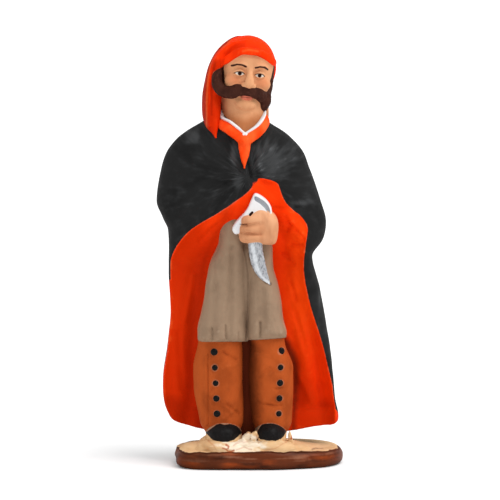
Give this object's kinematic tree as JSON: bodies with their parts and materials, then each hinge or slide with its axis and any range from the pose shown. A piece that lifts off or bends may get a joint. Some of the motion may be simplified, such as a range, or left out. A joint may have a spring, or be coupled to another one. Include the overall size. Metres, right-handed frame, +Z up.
{
  "type": "santon figure",
  "caption": "Small moulded and painted clay figure of a cloaked man with a soft cap and moustache, holding a curved blade, on a low oval slab of ground.",
  "frame": {"origin": "middle of the bounding box, on the surface that the slab stands on", "axes": "+Z up through the figure, -Y out of the figure's chest, +X towards the figure's left hand"},
  "size_m": [0.039, 0.0254, 0.0898],
  "materials": {
    "painted_clay": "fired clay with matt hand painting: black cloak lined in orange red, red cap and kerchief, taupe trousers, tan gaiters, brown and cream ground"
  },
  "bodies": {
    "root": {"santon_figure": "painted_clay"}
  },
  "joints": []
}
